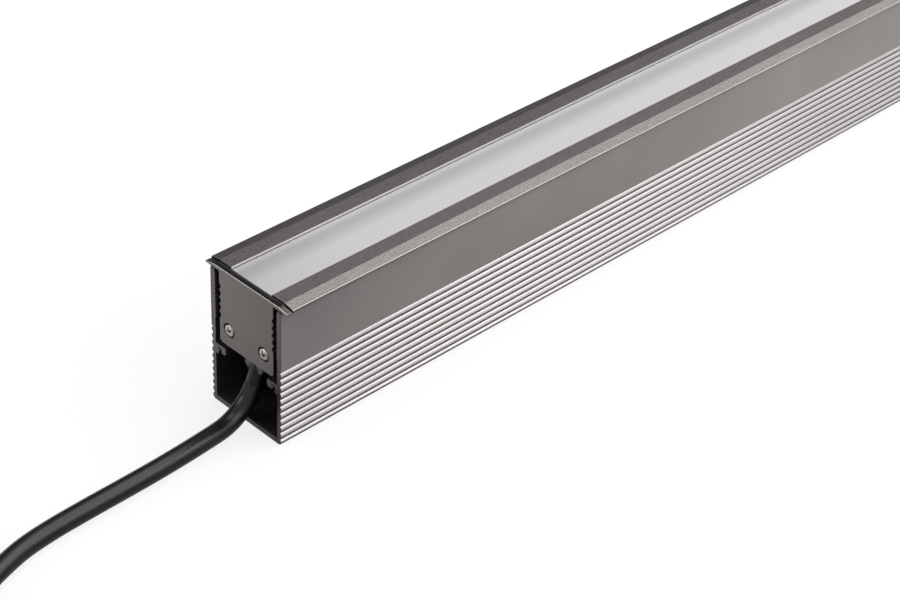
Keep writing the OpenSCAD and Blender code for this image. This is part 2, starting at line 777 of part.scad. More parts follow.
// The three cores, from the end of the lead's sheath through the spout to the terminals
module inner_cores() {
    spout_top = spout_end + spout_len * spout_axis;
    for (i = [-1 : 1]) {
        turn = i == 0 ? 180 : 60 * i;
        shift = core_spread * (cos(turn) * [cos(spout_lean), 0, -sin(spout_lean)]
                               + sin(turn) * [0, 1, 0]);
        mouth = [terminal_x, i * terminal_pitch, terminal_wire_z];
        leave = spout_top + shift + core_bend / (i == 0 ? 2 : 4) * spout_axis;
        path = concat([spout_end + shift],
                      [for (t = [0 : 1 / 8 : 1])
                          bezier(leave, leave + core_bend * spout_axis,
                                 mouth - [2 * core_bend, 0, 0], mouth, t)],
                      [mouth + [terminal_hole_depth - core_r, 0, 0]]);
        color(core_colours[i + 1]) tube(path, core_r, 8, spout_axis, [1, 0, 0]);
    }
}

// Two leads from the driver up through the web to the light source's board, under the lens
module led_leads() {
    climb = [0, 0, (web_z - driver_top_z) / 2];
    rise = [0, 0, led_pitch / 5];
    for (side = [-1, 1]) {
        y = side * led_lead_step;
        low = [driver_x + driver_board_len - led_pitch / 2, side * lead_hole_r, driver_top_z];
        hole = [lead_hole_x, y, web_z];
        out = [lead_hole_x, y, led_board_top_z];
        pad = [lead_hole_x - led_pitch / 3, y, led_board_top_z];
        path = concat([for (t = [0 : 1 / 8 : 1]) bezier(low, low + climb, hole - climb, hole, t)],
                      [for (t = [0 : 1 / 6 : 1]) bezier(out, out + rise, pad + rise, pad, t)]);
        color(copper) tube(path, led_lead_r, 6, [0, 0, 1], [0, 0, -1], [0, 1, 0]);
    }
}

// A moulding snapped into the body's floor, with a slanting hole for the spout
module cable_outlet() {
    half = outlet_w / 2;
    color(outlet_grey) difference() {
        union() {
            along(outlet_x, outlet_len) polygon([
                [-half, body_bottom_z], [-half, outlet_bottom_z + outlet_chamfer],
                [outlet_chamfer - half, outlet_bottom_z], [half - outlet_chamfer, outlet_bottom_z],
                [half, outlet_bottom_z + outlet_chamfer], [half, body_bottom_z]]);
            translate([neck_x, -neck_w / 2, body_bottom_z - over])
                cube([neck_len, neck_w, body_floor_t + 2 * over]);
            translate([inner_flange_x, -inner_flange_w / 2, driver_floor_z])
                cube([inner_flange_len, inner_flange_w, inner_flange_t]);
        }
        translate(spout_end - spout_len * spout_axis) rotate([0, spout_lean, 0])
            cylinder(h = 3 * spout_len, r = spout_r + spout_play);
    }
}

// The round spout that the lead's sheath meets at a seam
module outlet_sleeve() {
    color(rubber_black) translate(spout_end) rotate([0, spout_lean, 0]) difference() {
        cylinder(h = spout_len, r = spout_r);
        translate([0, 0, -over]) cylinder(h = spout_len + 2 * over, r = spout_bore_r);
    }
}

module power_cord() {
    color(rubber_black) tube(cord_route, cord_r, cord_sides, -spout_axis, split_heading);
}

module power_cord_hank() {
    color(rubber_black) tube(hank_path, cord_r, hank_sides, split_heading, hank_heading);
}

// A strap round the strands at the hank's waist
module tie_outline(grow) {
    hull() for (turns = tie_turns) {
        place = hank_point(turns);
        translate([place.y, place.z]) circle(r = cord_r + grow, $fn = 24);
    }
}
module hank_tie() {
    color(rubber_black) along(hank_centre.x - tie_w / 2, tie_w) difference() {
        tie_outline(tie_play + tie_t);
        tie_outline(tie_play);
    }
}

// The places of the bared cores: they fan out flat on the hank
function core_path(i) =
    let (side = cross([0, 0, 1], hank_heading), low = -cord_r + core_r,
         from = hank_end + i * core_step * side,
         last = [-cos(core_turn), sin(core_turn), 0],
         to = hank_end + core_len * last + i * core_fan * side + [0, 0, low])
    [for (t = [0 : 1 / 6 : 1])
        bezier(from, from + core_len / 3 * hank_heading, to - core_len / 3 * last, to, t)];
module cord_cores() {
    for (i = [-1 : 1])
        color(core_colours[i + 1])
            tube(core_path(i), core_r, 8, hank_heading, [-cos(core_turn), sin(core_turn), 0]);
}
module core_ferrules() {
    color(steel) for (i = [-1 : 1]) {
        path = core_path(i);
        translate(path[len(path) - 1]) rotate([0, 90, 180 - core_turn]) {
            cylinder(h = ferrule_collar_len, r = ferrule_collar_r);
            cylinder(h = ferrule_collar_len + ferrule_len, r = ferrule_r);
        }
    }
}

mounting_channel();
flange_gaskets();
luminaire_body();
diffuser();
diffuser_seals();
end_cap();  // end_cap_near
far_end() end_cap();  // end_cap_far
end_gasket();  // end_gasket_near
far_end() end_gasket();  // end_gasket_far
cap_screws();  // cap_screws_near
far_end() cap_screws();  // cap_screws_far
retaining_clips();
led_board();
led_chips();
lens_strip();
thermal_pad();
board_screws();
driver_board();
driver_inductors();
driver_capacitors();
driver_chips();
terminal_block();
inner_cores();
led_leads();
cable_outlet();
outlet_sleeve();
power_cord();
power_cord_hank();
hank_tie();
cord_cores();
core_ferrules();
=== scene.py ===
# Outdoor wall washer light: a slim lamp of extruded aluminium that hangs by its flange in a
# ribbed U-shaped mounting channel, with a rubber supply lead leaving under one end.
# Lengths are in metres: X runs along the fixture, Z is up, and Y = 0 is its middle plane.
from math import cos, pi, radians, sin

import bmesh
import bpy
from mathutils import Matrix, Vector


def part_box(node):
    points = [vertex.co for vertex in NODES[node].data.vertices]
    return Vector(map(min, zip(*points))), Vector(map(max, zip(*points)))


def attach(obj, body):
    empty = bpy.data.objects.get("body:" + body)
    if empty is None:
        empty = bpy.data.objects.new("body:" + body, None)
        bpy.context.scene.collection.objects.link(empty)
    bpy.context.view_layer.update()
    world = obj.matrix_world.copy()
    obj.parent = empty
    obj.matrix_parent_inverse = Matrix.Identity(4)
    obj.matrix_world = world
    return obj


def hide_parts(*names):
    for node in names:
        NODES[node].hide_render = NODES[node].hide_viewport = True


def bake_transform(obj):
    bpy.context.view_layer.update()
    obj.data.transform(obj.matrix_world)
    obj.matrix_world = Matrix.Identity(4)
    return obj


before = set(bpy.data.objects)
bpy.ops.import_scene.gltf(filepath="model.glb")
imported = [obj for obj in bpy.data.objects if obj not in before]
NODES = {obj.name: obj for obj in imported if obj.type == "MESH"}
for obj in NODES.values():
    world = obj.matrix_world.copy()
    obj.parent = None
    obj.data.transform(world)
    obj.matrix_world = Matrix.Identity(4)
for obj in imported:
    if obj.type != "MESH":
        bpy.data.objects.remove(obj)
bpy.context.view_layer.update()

# The camera: a long lens high over the cable end, from the front left, leaning a little as
# the photograph does. Its place is measured from the channel's near end.
near_end = Vector((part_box("mounting_channel")[0].x, 0, 0))
camera_place = near_end + Vector((-0.4399, -0.53025, 0.5534))
camera_azimuth = radians(-46.237)
camera_elevation = radians(35.517)
camera_roll = radians(3.061)
focal_length = 87.72
sensor_width = 36
clip_start, clip_end = 0.01, 20

back = Vector((sin(camera_azimuth) * cos(camera_elevation),
               -cos(camera_azimuth) * cos(camera_elevation), sin(camera_elevation)))
level = (-back).cross(Vector((0, 0, 1))).normalized()
upright = level.cross(-back)
camera_x = level * cos(camera_roll) + upright * sin(camera_roll)
camera_y = upright * cos(camera_roll) - level * sin(camera_roll)
camera = bpy.data.objects.new("camera", bpy.data.cameras.new("camera"))
camera.data.lens = focal_length
camera.data.sensor_width = sensor_width
camera.data.clip_start = clip_start
camera.data.clip_end = clip_end
camera.matrix_world = (Matrix.Translation(camera_place)
                       @ Matrix((camera_x, camera_y, back)).transposed().to_4x4())
bpy.context.scene.collection.objects.link(camera)
bpy.context.scene.camera = camera

# The supply lead: round three-core cable in a black rubber sheath with a fine wrinkle. It bends
# down out of the spout, passes over the channel's floor and lies on the ground, and the length
# that isn't in use is folded into a hank in line with the fixture.
MM = 0.001
lead_d = 8.2 * MM
lead_r = lead_d / 2
lead_sides = 20
lead_step = 2.5 * MM
spout_end = Vector((near_end.x + 4.4 * MM, 0, 17.5 * MM))
spout_lean = radians(20)
spout_axis = Vector((sin(spout_lean), 0, cos(spout_lean)))
seam_steps = 0.2 * MM, 0.5 * MM, 0.9 * MM
seam_radii = [lead_r - 0.5 * MM, lead_r - 0.15 * MM, lead_r - 0.04 * MM, lead_r]
lead_points = [
    (1.9, 0, 12.8), (-1.7, -0.1, 8.9), (-6.1, -0.5, 6.1), (-11.2, -1.1, 4.5), (-16.5, -1.7, 4.1),
    (-24, -2.4, 4.1), (-36, -3.3, 4.1), (-50, -4, 4.1), (-66, -4.4, 4.1), (-82, -4.7, 4.1),
    (-98, -5.3, 4.1), (-112, -6.9, 4.2), (-124, -10.2, 4.4), (-136, -14.6, 4.7),
    (-145, -17.2, 4.9), (-151, -18, 4.95),
]
route = [spout_end] + [near_end + MM * Vector(p) for p in lead_points]
lead_heading = Vector((-1, 0, 0))

# The hank winds inwards for hank_back turns, climbs a layer, and winds outwards over itself. Its
# runs are drawn in at the waist, where the tie goes round them.
hank_layer = lead_d + 0.55 * MM
hank_step = lead_d + 1.7 * MM
hank_run = 115 * MM
hank_half_w = 33 * MM
hank_draw = 15 * MM
hank_turns = 2
hank_back = 1.125
hank_climb = 1.1375, 1.25
hank_steps = 96
hank_centre = route[-1] + Vector((-lead_d - hank_run / 2, hank_half_w, 0))


def smooth(t):
    """A share of 0 to 1, slowed down at both ends."""
    t = max(0, min(1, t))
    return t * t * (3 - 2 * t)


def hank_point(turns):
    """A point on the hank's centreline; a turn is a run, a loop, a run and a loop."""
    half_w = hank_half_w - hank_step * min(turns, 2 * hank_back - turns)
    part, t = int(4 * turns) % 4, 4 * turns % 1
    if part % 2 == 0:
        x, y = hank_run / 2 - hank_run * t, hank_draw * sin(pi * t) ** 2 - half_w
    else:
        x, y = -hank_run / 2 - half_w * sin(pi * t), -half_w * cos(pi * t)
    side = 1 if part < 2 else -1
    climb = smooth((turns - hank_climb[0]) / (hank_climb[1] - hank_climb[0]))
    return hank_centre + Vector((side * x, side * y, hank_layer * climb))


def curve_through(points, step):
    """Points about step apart on the smooth curve through the given points."""
    ends = [2 * points[0] - points[1], *points, 2 * points[-1] - points[-2]]
    line = []
    for a, b, c, d in zip(ends, ends[1:], ends[2:], ends[3:]):
        count = max(1, round((c - b).length / step))
        for i in range(count):
            t = i / count
            line.append(b + t / 2 * (c - a + t * (2 * a - 5 * b + 4 * c - d
                                                  + t * (3 * b - a - 3 * c + d))))
    return line + [points[-1]]


def add_tube(form, line, radii, sides, start=None, finish=None):
    """Adds a closed round tube along a line, with one radius or one for each of its points."""
    radii = radii if isinstance(radii, list) else [radii] * len(line)
    rings = []
    across = None
    for i, (place, r) in enumerate(zip(line, radii)):
        ahead = (line[min(i + 1, len(line) - 1)] - line[max(i - 1, 0)]).normalized()
        if i == 0 and start:
            ahead = start.normalized()
        if i == len(line) - 1 and finish:
            ahead = finish.normalized()
        across = ahead.orthogonal() if across is None else across - across.dot(ahead) * ahead
        across.normalize()
        turns = [Matrix.Rotation(2 * pi * k / sides, 3, ahead) @ across for k in range(sides)]
        rings.append([form.verts.new(place + r * turn) for turn in turns])
    for low, high in zip(rings, rings[1:]):
        for k in range(sides):
            form.faces.new((low[k], low[k - 1], high[k - 1], high[k]))
    form.faces.new(rings[0])
    form.faces.new(reversed(rings[-1]))


def piece(name, form, smooth_below=40):
    """A mesh object from a bmesh, shaded smooth across edges under that many degrees."""
    bmesh.ops.recalc_face_normals(form, faces=form.faces)
    mesh = bpy.data.meshes.new(name)
    form.to_mesh(mesh)
    form.free()
    mesh.shade_smooth()
    mesh.set_sharp_from_angle(angle=radians(smooth_below))
    made = bpy.data.objects.new(name, mesh)
    bpy.context.scene.collection.objects.link(made)
    return made


hank_line = [hank_point(i / hank_steps) for i in range(hank_steps * hank_turns + 1)]
lead_line = curve_through(route, lead_step) + hank_line
lead_line[1:1] = [spout_end - spout_axis * step for step in seam_steps]
lead_radii = seam_radii + [lead_r] * (len(lead_line) - len(seam_radii))
form = bmesh.new()
add_tube(form, lead_line, lead_radii, lead_sides, -spout_axis, lead_heading)
lead = piece("supply_lead", form)
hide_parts("power_cord", "power_cord_hank")
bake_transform(lead)


def tone(red, green, blue):
    """A colour from the levels, up to 255, that it shows on a screen."""
    levels = [level / 255 for level in (red, green, blue)]
    return [v / 12.92 if v < 0.04 else ((v + 0.055) / 1.055) ** 2.4 for v in levels] + [1]


class Shade:
    """A socket whose sums, differences, products and comparisons become Math nodes."""

    def __init__(self, nodes, socket):
        self.nodes, self.socket = nodes, socket

    def maths(self, operation, *values):
        return self.nodes.node("Math", {"operation": operation}, dict(enumerate(values)))

    def __add__(self, other):
        return self.maths("ADD", self, other)

    def __sub__(self, other):
        return self.maths("SUBTRACT", self, other)

    def __rsub__(self, other):
        return self.maths("SUBTRACT", other, self)

    def __mul__(self, other):
        return self.maths("MULTIPLY", self, other)

    def __gt__(self, other):
        return self.maths("GREATER_THAN", self, other)

    def __lt__(self, other):
        return self.maths("LESS_THAN", self, other)

    def __abs__(self):
        return self.maths("ABSOLUTE", self)

    __radd__ = __add__
    __rmul__ = __mul__


class Nodes:
    """The nodes of a finish or of the world."""

    def __init__(self, tree):
        self.tree = tree

    def node(self, kind, settings, inputs, output=0):
        """A new node with those settings and inputs, given as the shade of one output."""
        made = self.tree.nodes.new("ShaderNode" + kind)
        for name, value in settings.items():
            setattr(made, name, value)
        self.feed(made, inputs)
        return Shade(self, made.outputs[output])

    def feed(self, node, inputs):
        """Gives a node's inputs their shades or plain values."""
        for name, value in inputs.items():
            if isinstance(value, Shade):
                self.tree.links.new(value.socket, node.inputs[name])
            else:
                node.inputs[name].default_value = value


class Finish(Nodes):
    """A material whose patterns follow each piece's own coordinates, in metres."""

    def __init__(self, name):
        self.material = bpy.data.materials.new(name)
        self.material.use_nodes = True
        super().__init__(self.material.node_tree)
        self.shader = self.tree.nodes["Principled BSDF"]
        self.place = self.node("TexCoord", {}, {}, "Object")

    def noise(self, size, detail=2):
        """Cloudy noise whose blots are about that size in metres."""
        return self.node("TexNoise", {}, {"Vector": self.place, "Scale": 1 / size,
                                          "Detail": detail})

    def mix(self, way, factor, first, second):
        """A Mix node of two colours, which are its inputs 6 and 7, and give its output 2."""
        return self.node("Mix", {"data_type": "RGBA", "blend_type": way},
                         {0: factor, 6: first, 7: second}, 2)

    def between(self, dark, light, factor):
        """A colour from dark, where the factor is 0, to light, where it is 1."""
        return self.mix("MIX", factor, dark, light)

    def dimmed(self, colour, share):
        """A colour times a share, which may be over 1."""
        return self.mix("MULTIPLY", 1, colour, share)

    def along(self, axis):
        """A coordinate of the place, in metres."""
        return self.node("SeparateXYZ", {}, {"Vector": self.place}, axis)

    def facing(self, axis):
        """How far the surface faces along an axis, from -1 to 1."""
        normal = self.node("NewGeometry", {}, {}, "True Normal")
        return self.node("SeparateXYZ", {}, {"Vector": normal}, axis)

    def spread(self, value, low, high):
        """A value brought from low..high to 0..1, and kept inside."""
        return self.node("MapRange", {}, {"Value": value, "From Min": low, "From Max": high})

    def bold(self, noise):
        """A noise with its contrast brought up to nearly the whole of 0..1."""
        return self.spread(noise, 0.3, 0.7)

    def relief(self, height, depth):
        """A normal from heights of 0 to 1, for a relief of that depth in metres."""
        return self.node("Bump", {}, {"Strength": 1, "Distance": depth, "Height": height})

    def surface(self, **inputs):
        """Sets the shader's sockets; Base_Color stands for Base Color, and so on."""
        self.feed(self.shader, {name.replace("_", " "): v for name, v in inputs.items()})
        return self.material


def dress(made, material):
    """Gives a piece one material in place of what it has."""
    made.data.materials.clear()
    made.data.materials.append(material)


rubber = Finish("cable rubber")
bloom = rubber.noise(8 * MM, 3)
wrinkle = rubber.noise(1.1 * MM, 3)
cable_rubber = rubber.surface(
    Base_Color=rubber.between(tone(6, 6, 6), tone(15, 15, 14), rubber.bold(bloom)),
    Roughness=0.2 + 0.16 * bloom, Specular_IOR_Level=0.32,
    Normal=rubber.relief(0.8 * wrinkle + 0.2 * bloom, 0.07 * MM))
dress(lead, cable_rubber)

# The hank's tie: a black nylon strap pulled tight round the four strands at the waist, with its
# square head, the tail that comes out of it, and the latch on its top.
tie_turns = 0.125, 0.625, 1.125, 1.625
tie_w = 3 * MM
tie_inner = lead_r + 0.12 * MM
tie_outer = lead_r + 0.75 * MM
tie_steps = 96
tie_head = Vector((5 * MM, 5.4 * MM, 3.6 * MM))
tail_len = 11 * MM
tail_drop = 0.6 * MM
tie_tail = Vector((0.85 * tie_w, tail_len, 0.6 * MM))
tie_latch = Vector((2.2 * MM, 1.2 * MM, 0.4 * MM))
head_ease, tail_ease, latch_ease = 0.4 * MM, 0.15 * MM, 0.1 * MM
strands = [hank_point(turns) for turns in tie_turns]


def round_strands(radius, angle):
    """The point at that angle on the outline at that distance from the strands' centres."""
    out = Vector((0, cos(angle), sin(angle)))
    place = max(strands, key=out.dot) + radius * out
    return Vector((hank_centre.x, place.y, place.z))


def add_block(form, centre, size, axes, ease):
    """Adds a box of that size with eased edges, along the columns of the matrix of axes."""
    made = bmesh.ops.create_cube(form, size=1)["verts"]
    placed = Matrix.Translation(centre) @ axes.to_4x4() @ Matrix.Diagonal((*size, 1))
    bmesh.ops.transform(form, verts=made, matrix=placed)
    bmesh.ops.bevel(form, geom=list({e for v in made for e in v.link_edges}), offset=ease,
                    segments=2, profile=0.5, affect="EDGES")


form = bmesh.new()
half_w = Vector((tie_w / 2, 0, 0))
rings = []
for i in range(tie_steps):
    angle = 2 * pi * i / tie_steps
    inner, outer = round_strands(tie_inner, angle), round_strands(tie_outer, angle)
    rings.append([form.verts.new(place) for place in (inner - half_w, inner + half_w,
                                                      outer + half_w, outer - half_w)])
for i in range(tie_steps):
    low, high = rings[i - 1], rings[i]
    for k in range(4):
        form.faces.new((low[k], low[k - 1], high[k - 1], high[k]))
first, last = strands[0], strands[3]
lengthwise = Vector((1, 0, 0))
slope = (last - first).cross(lengthwise)
slope = (slope if slope.z > 0 else -slope).normalized()
band = slope.cross(lengthwise)
tie_axes = Matrix((lengthwise, band, slope)).transposed()
head = (first + last) / 2 + slope * (tie_inner + tie_head.z / 2)
head.x = hank_centre.x
tail = head + band * (tie_head.y + tail_len) / 2 - slope * tail_drop
add_block(form, head, tie_head, tie_axes, head_ease)
add_block(form, tail, tie_tail, tie_axes, tail_ease)
add_block(form, head + slope * tie_head.z / 2, tie_latch, tie_axes, latch_ease)
tie = piece("hank_strap", form)
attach(tie, "channel")
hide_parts("hank_tie")
nylon = Finish("tie nylon")
dress(tie, nylon.surface(
    Base_Color=nylon.between(tone(22, 22, 23), tone(34, 34, 35), nylon.noise(3 * MM)),
    Roughness=0.42 + 0.1 * nylon.noise(1 * MM),
    Normal=nylon.relief(nylon.noise(0.8 * MM), 0.04 * MM)))

# The lead's bared end: three insulated copper cores, brown, blue and green with yellow, each in
# a crimped ferrule with its collar. They fan out and come down a little from the sheath's end.
core_r = 1.2 * MM
core_step = 2.6 * MM
core_len = 22 * MM
core_fan = 5 * MM
core_turn = radians(14)
core_last = Vector((-cos(core_turn), sin(core_turn), 0))
core_sides = 16
core_steps = 16
sheath_lift = 1.25
core_tones = {"brown": tone(96, 58, 34), "blue": tone(38, 78, 150), "green": tone(58, 116, 44)}
striped_core = "green"
stripe_tone = tone(206, 182, 46)
stripe_sides = 3, 4, 5, 11, 12, 13
ferrule_r = 0.9 * MM
ferrule_len = 11 * MM
collar_r = 1.45 * MM
collar_len = 3 * MM
ferrule_steps = (0, 0.9 * collar_len, collar_len, collar_len, ferrule_len - 0.3 * MM,
                 ferrule_len)
ferrule_radii = [collar_r, collar_r - 0.1 * MM, ferrule_r + 0.2 * MM, ferrule_r, ferrule_r,
                 ferrule_r - 0.2 * MM]
ring_gap = 0.001 * MM


def bezier(a, b, c, d, count):
    """Points on the curve from a to d with handles b and c."""
    return [(1 - t) ** 3 * a + 3 * t * (1 - t) ** 2 * b + 3 * t * t * (1 - t) * c + t ** 3 * d
            for t in (i / count for i in range(count + 1))]


def sheathing(name, colour):
    """The smooth sheath of a core, a little uneven in colour."""
    sheath = Finish(name)
    return sheath.surface(
        Base_Color=sheath.between(colour, [sheath_lift * v for v in colour],
                                  sheath.noise(3 * MM)),
        Roughness=0.38 + 0.12 * sheath.noise(2 * MM),
        Normal=sheath.relief(sheath.noise(0.6 * MM), 0.02 * MM))


hank_end = hank_line[-1]
cores, ferrules = [], bmesh.new()
for i, (name, colour) in enumerate(core_tones.items(), -1):
    start = hank_end + Vector((0, -i * core_step, 0))
    finish = hank_end + core_len * core_last + Vector((0, -i * core_fan, core_r - lead_r))
    line = bezier(start, start + core_len / 3 * lead_heading, finish - core_len / 3 * core_last,
                  finish, core_steps)
    form = bmesh.new()
    add_tube(form, line, core_r, core_sides, lead_heading, core_last)
    core = piece("core_" + name, form)
    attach(core, "channel")
    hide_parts("cord_cores")
    dress(core, sheathing("core sheath " + name, colour))
    if name == striped_core:
        core.data.materials.append(sheathing("core stripe", stripe_tone))
        for face in core.data.polygons:
            if face.index % core_sides in stripe_sides and len(face.vertices) == 4:
                face.material_index = 1
    cores.append(core)
    add_tube(ferrules, [finish + core_last * (step + ring_gap * k)
                        for k, step in enumerate(ferrule_steps)],
             ferrule_radii, core_sides, core_last, core_last)
ferrule = piece("core_end_ferrules", ferrules)
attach(ferrule, "channel")
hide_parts("core_ferrules")
tin = Finish("tinned copper")
dress(ferrule, tin.surface(
    Base_Color=tin.between(tone(168, 166, 160), tone(200, 198, 192), tin.noise(1 * MM)),
    Metallic=1, Roughness=0.3 + 0.1 * tin.noise(0.6 * MM)))

# The mounting channel: a U-shaped aluminium extrusion, blasted and anodised titanium grey, with
# ribs outside and teeth inside, cut square and screwed down. Its raised ribs carry a painted
# highlight, weaker towards the far end, and painted shade lies in the grooves and along its foot.
rib_foot = 20.25 * MM
rib_zone_low = 1.85 * MM
rib_zone_top = 36.35 * MM
groove_depth = 0.22 * MM
# Along X the ribs' painted highlight weakens and the grooves' painted shade lightens over this
# stretch.
light_fade_start, light_fade_end = -0.12, 0.1
profile_dark, profile_light = tone(136, 130, 129), tone(157, 151, 150)
# Painted highlight on the ribs' crests; painted shade in the grooves and on the strip along the
# foot.
rib_highlight, rib_highlight_far = tone(212, 207, 207), tone(188, 184, 184)
groove_shade, groove_shade_far = tone(84, 80, 80), tone(104, 99, 99)
foot_shade = tone(38, 36, 36)
sawn_grey = tone(92, 88, 87)


def eased(node, width, flat=0):
    """Breaks a CAD node's sharp edges a little, once its faces flat to that angle are one."""
    weld = node.modifiers.new("weld", "WELD")
    weld.merge_threshold = 0.002 * MM
    if flat:
        merged = node.modifiers.new("whole faces", "DECIMATE")
        merged.decimate_type = "DISSOLVE"
        merged.angle_limit = radians(flat)
    bevel = node.modifiers.new("eased edges", "BEVEL")
    bevel.width = width
    bevel.segments = 2
    bevel.limit_method = "ANGLE"
    bevel.angle_limit = radians(35)
    bevel.harden_normals = True


grain_size, cloud_size = 0.62 * MM, 70 * MM


class Anodised(Finish):
    """Blasted and anodised aluminium: a fine grain, and clouds too faint to see up close."""

    def __init__(self, name, dark, light, grain_share):
        super().__init__(name)
        self.grain = self.bold(self.noise(grain_size, 3))
        cloud = self.bold(self.noise(cloud_size))
        self.colour = self.between(dark, light,
                                   grain_share * self.grain + (1 - grain_share) * cloud)

    def metal(self, colour, rough, depth):
        """The finish in that colour, with a relief of the grain of that depth in metres."""
        return self.surface(Base_Color=colour, Metallic=1, Roughness=rough + 0.08 * self.grain,
                            Normal=self.relief(self.grain, depth))


channel_metal = Anodised("channel metal", profile_dark, profile_light, 0.45)
outward = abs(channel_metal.along("Y"))
height = channel_metal.along("Z")
far = channel_metal.spread(channel_metal.along("X"), light_fade_start, light_fade_end)
on_end = abs(channel_metal.facing("X")) > 0.5
# Masks of the painted highlight on the ribs and of the painted shade in the grooves and along the
# foot.
ribbed = (outward > rib_foot - groove_depth) * (height < rib_zone_top)
highlit_ribs = (outward > rib_foot + groove_depth) * (height > rib_zone_low)
ribs = channel_metal.between(rib_highlight, rib_highlight_far, far)
grooves = channel_metal.between(channel_metal.between(groove_shade, groove_shade_far, far),
                                foot_shade, height < rib_zone_low)
flanks = channel_metal.between(channel_metal.colour,
                               channel_metal.between(grooves, ribs, highlit_ribs), ribbed)
eased(NODES["mounting_channel"], 0.15 * MM)
dress(NODES["mounting_channel"], channel_metal.metal(
    channel_metal.between(flanks, sawn_grey, on_end), 0.3 + 0.3 * highlit_ribs, 0.02 * MM))

# The lamp's body: one extrusion with a flange that hides the channel's edges, scalloped sides
# for the spring clips and a sunk seat for the diffuser. Same finish as the channel, but its
# flange shows more grain; its edge and the seat's lip carry a painted highlight, and the
# flange's cut ends carry painted shade.
flange_half = 24.2 * MM
flange_low = 64 * MM
edge_w = 0.4 * MM
lip_half = 12.4 * MM
lip_low = 66.2 * MM
steepest, flattest = 0.2, 0.96
flange_dark, flange_light = tone(108, 103, 102), tone(140, 135, 134)
# Painted highlight on the flange's edge and the seat's lip, and painted shade on the flange's cut
# ends.
edge_highlight = tone(176, 172, 171)
lip_highlight = tone(229, 231, 232)
end_face_shade = tone(44, 42, 42)
body_metal = Anodised("lamp body metal", flange_dark, flange_light, 0.8)
outward = abs(body_metal.along("Y"))
height = body_metal.along("Z")
upward = body_metal.facing("Z")
on_edge = (outward > flange_half - edge_w) * (upward > steepest) * (upward < flattest)
# The flange's cut ends, which take the painted shade.
on_end = (abs(body_metal.facing("X")) > 0.5) * (height > flange_low)
on_lip = (outward < lip_half) * (height > lip_low) * (upward < 0.3)
trimmed = body_metal.between(body_metal.between(body_metal.colour, edge_highlight, on_edge),
                             lip_highlight, on_lip)
eased(NODES["luminaire_body"], 0.15 * MM)
dress(NODES["luminaire_body"], body_metal.metal(body_metal.between(trimmed, end_face_shade, on_end),
                                                0.3, 0.04 * MM))

# The diffuser: a frosted acrylic strip in the flange's opening. Its colour carries painted shade
# towards the back, where the lens under it leans, a painted highlight along its edges, and a
# little painted shade at its two ends.
shade_start, shade_end = -1.5 * MM, 5.5 * MM
back_edge_start, back_edge_end = 8.4 * MM, 9.6 * MM
rim_start, rim_end = 10.9 * MM, 11.3 * MM
ends_start, ends_end = 0.2, 0.25
strip_share = 0.85
lens_shade, end_shade = 0.23, 0.14
back_edge_glow, rim_glow = 0.14, 0.17
frost = Finish("frosted diffuser")
across = frost.along("Y")
shaded = frost.spread(across, shade_start, shade_end)
edge_lit = frost.spread(across, back_edge_start, back_edge_end)
rim_lit = frost.spread(abs(across), rim_start, rim_end)
near_ends = frost.spread(abs(frost.along("X")), ends_start, ends_end)
acrylic = frost.between(tone(194, 193, 193), tone(198, 196, 196), frost.noise(20 * MM))
# Painted shade towards the back and at the ends, and painted highlight along the edges.
shown = strip_share - lens_shade * shaded + back_edge_glow * edge_lit + rim_glow * rim_lit
frosted = frost.surface(
    Base_Color=frost.dimmed(acrylic, shown * (1 - end_shade * near_ends)),
    Roughness=0.38 + 0.1 * frost.noise(0.3 * MM),
    Normal=frost.relief(frost.noise(0.3 * MM), 0.008 * MM))
dress(NODES["diffuser"], frosted)

# The end plates: machined aluminium, anodised a little darker. Their top edge carries painted
# shade, almost black, with a painted reflection at its tips, and its rim a painted highlight.
# Two screws hold each plate on the body, over a thin black gasket.
tip_start, tip_end = 18.5 * MM, 21 * MM
plate_dark, plate_light = tone(98, 95, 93), tone(114, 110, 108)
# Painted shade on the top edge, with a painted reflection at its tips.
top_shade, tip_reflection = tone(43, 41, 40), tone(84, 81, 79)
# A painted highlight on the rim of the top edge.
rim_highlight = tone(182, 178, 176)
plate_metal = Anodised("end plate metal", plate_dark, plate_light, 0.5)
plate_up = plate_metal.facing("Z")
plate_out = abs(plate_metal.facing("X"))
on_top = (plate_up > 0.9) * (plate_out < 0.1)
on_tip = plate_metal.spread(abs(plate_metal.along("Y")), tip_start, tip_end)
on_rim = (plate_up > 0.2) * (plate_out > 0.1) * (plate_metal.along("Z") > flange_low)
plate_top = plate_metal.between(top_shade, tip_reflection, on_tip)
plate_faces = plate_metal.between(plate_metal.colour, plate_top, on_top)
end_plate = plate_metal.metal(plate_metal.between(plate_faces, rim_highlight, on_rim),
                              0.36, 0.02 * MM)
for name in "end_cap_near", "end_cap_far":
    eased(NODES[name], 0.3 * MM, 0.5)
    dress(NODES[name], end_plate)

# The seals: die-cut black rubber between plate and body, on the channel's walls, and under the
# diffuser.
seal = Finish("seal rubber")
seal_rubber = seal.surface(
    Base_Color=seal.between(tone(18, 18, 18), tone(32, 32, 32), seal.noise(2 * MM)),
    Roughness=0.6 + 0.1 * seal.noise(1 * MM), Normal=seal.relief(seal.noise(0.4 * MM), 0.03 * MM))
for name in "end_gasket_near", "end_gasket_far", "flange_gaskets", "diffuser_seals":
    dress(NODES[name], seal_rubber)

